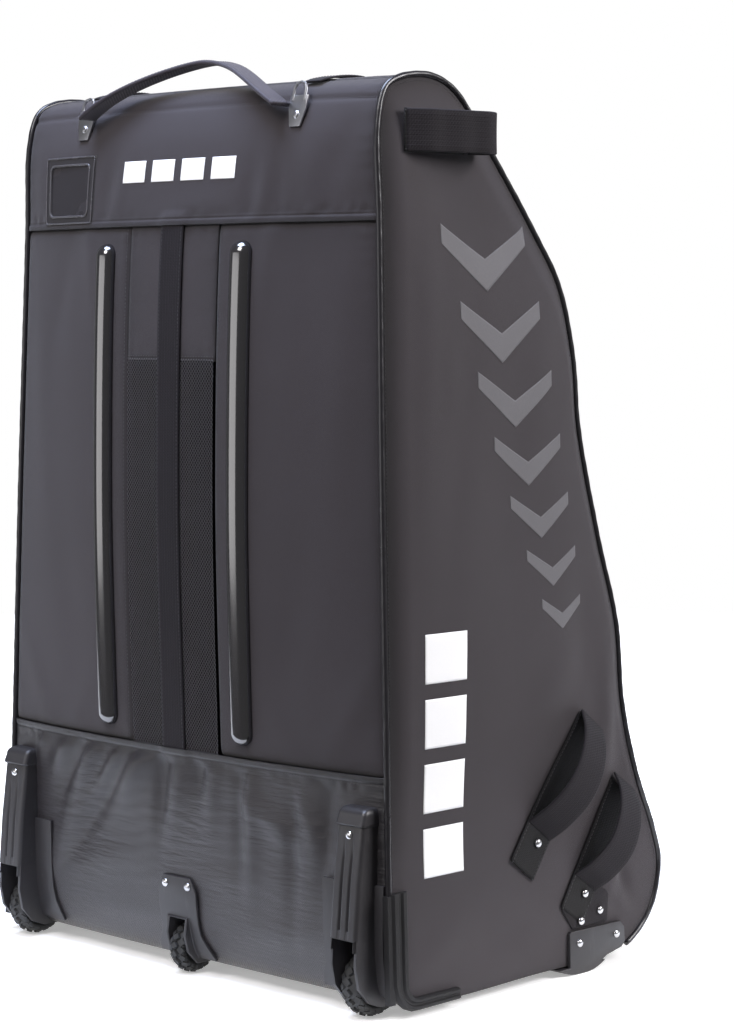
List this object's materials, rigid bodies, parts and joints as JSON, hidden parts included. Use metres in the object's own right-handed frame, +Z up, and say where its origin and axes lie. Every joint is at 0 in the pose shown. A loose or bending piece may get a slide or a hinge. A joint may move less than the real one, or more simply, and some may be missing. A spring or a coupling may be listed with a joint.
{
  "type": "wheeled hockey goalie bag",
  "caption": "Tall upright wheeled cloth gear bag with a vented wheel panel between rails, hard wheel housings, a sloping front with a zip, side grab loops and a carry handle.",
  "frame": {"origin": "on the floor, under the middle of the bag's whole width and depth", "axes": "+Z up, the wheel panel faces -Y, the sloping front faces +Y, +X to the right of someone facing the wheel panel"},
  "size_m": [0.7166, 0.5062, 1.048],
  "materials": {
    "shell_cloth": "charcoal woven polyester, matt with a soft sheen",
    "boot_cloth": "black coated nylon, slightly shiny and creased",
    "vent_net": "black open net",
    "webbing": "black ribbed webbing",
    "zip": "black coil zip on its tape",
    "piping": "black vinyl cord edging",
    "rail_plastic": "black semi-gloss moulded bar",
    "hard_plastic": "black fine-grained moulding",
    "tyre": "black tread with moulded hub",
    "steel": "bright plated steel",
    "clear_vinyl": "clear window in a sewn rim"
  },
  "bodies": {
    "bag": {"rear_yoke": "shell_cloth", "vent_flap": "shell_cloth", "top_panel": "shell_cloth", "front_panel": "shell_cloth", "rear_boot": "boot_cloth", "base_panel": "boot_cloth", "vent_mesh": "vent_net", "vent_webbing": "webbing", "pad_strap_upper": "webbing", "pad_strap_lower": "webbing", "carry_handle": "webbing", "front_zip": "zip", "id_pocket": "clear_vinyl", "wheel_housing_middle": "hard_plastic", "axle_middle": "steel", "side_panel_left": "shell_cloth", "side_piping_left": "piping", "rear_panel_left": "shell_cloth", "rear_rail_left": "rail_plastic", "wheel_housing_left": "hard_plastic", "corner_guard_left": "hard_plastic", "front_foot_left": "hard_plastic", "upper_side_handle_left": "webbing", "lower_rear_handle_left": "webbing", "lower_front_handle_left": "webbing", "top_strap_left": "webbing", "axle_left": "steel", "handle_anchor_left": "steel", "rivet_loop_rear_left": "steel", "rivet_loop_front_a_left": "steel", "rivet_loop_front_b_left": "steel", "rivet_loop_front_c_left": "steel", "rivet_foot_a_left": "steel", "rivet_foot_b_left": "steel", "rivet_housing_left": "steel", "side_panel_right": "shell_cloth", "side_piping_right": "piping", "rear_panel_right": "shell_cloth", "rear_rail_right": "rail_plastic", "wheel_housing_right": "hard_plastic", "corner_guard_right": "hard_plastic", "front_foot_right": "hard_plastic", "upper_side_handle_right": "webbing", "lower_rear_handle_right": "webbing", "lower_front_handle_right": "webbing", "top_strap_right": "webbing", "axle_right": "steel", "handle_anchor_right": "steel", "rivet_loop_rear_right": "steel", "rivet_loop_front_a_right": "steel", "rivet_loop_front_b_right": "steel", "rivet_loop_front_c_right": "steel", "rivet_foot_a_right": "steel", "rivet_foot_b_right": "steel", "rivet_housing_right": "steel"},
    "wheel_left": {"wheel_left": "tyre"},
    "wheel_middle": {"wheel_middle": "tyre"},
    "wheel_right": {"wheel_right": "tyre"}
  },
  "joints": [
    {"name": "left_wheel_spin", "type": "hinge", "parent": "bag", "child": "wheel_left", "pos_m": [-0.286, -0.207, 0.036], "axis": [1, 0, 0], "continuous": true},
    {"name": "middle_wheel_spin", "type": "hinge", "parent": "bag", "child": "wheel_middle", "pos_m": [0, -0.207, 0.03], "axis": [1, 0, 0], "continuous": true},
    {"name": "right_wheel_spin", "type": "hinge", "parent": "bag", "child": "wheel_right", "pos_m": [0.286, -0.207, 0.036], "axis": [1, 0, 0], "continuous": true}
  ]
}
